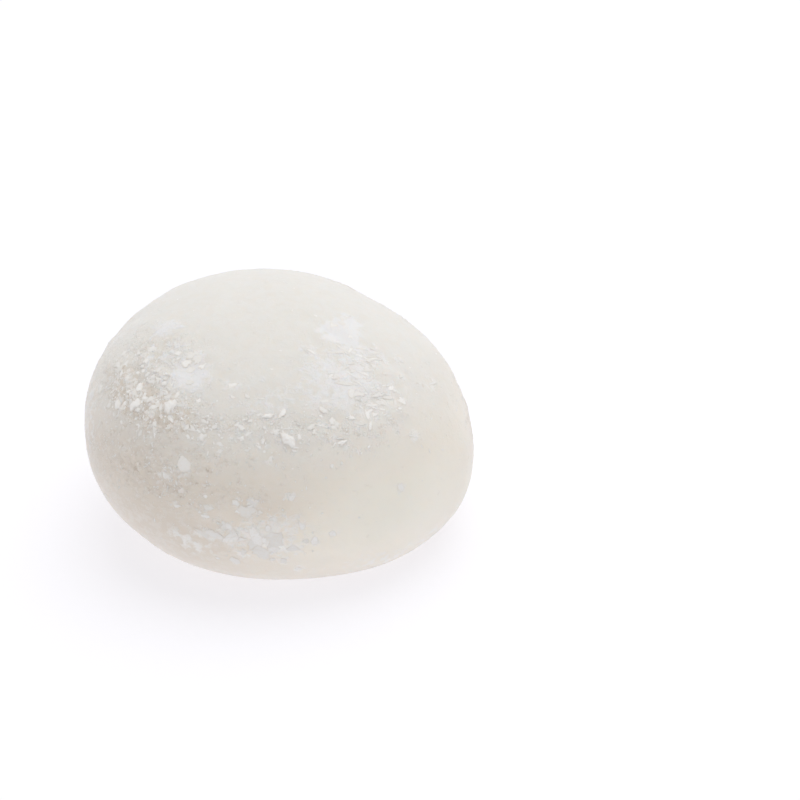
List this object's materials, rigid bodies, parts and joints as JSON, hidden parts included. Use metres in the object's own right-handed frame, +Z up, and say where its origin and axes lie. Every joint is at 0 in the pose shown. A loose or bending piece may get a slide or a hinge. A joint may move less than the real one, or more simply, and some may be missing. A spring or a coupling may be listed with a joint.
{
  "type": "mochi ice cream",
  "caption": "One uncut round mochi ice cream, broader than tall, dusted with dry starch, resting on its flattened underside.",
  "frame": {"origin": "middle of the flat underside, on the surface that the mochi lies on", "axes": "+Z up, +X along the longest side, +Y away from the pictured front"},
  "size_m": [0.0483, 0.0462, 0.0298],
  "materials": {
    "rice_skin": null
  },
  "bodies": {
    "root": {"mochi": "rice_skin"}
  },
  "joints": []
}
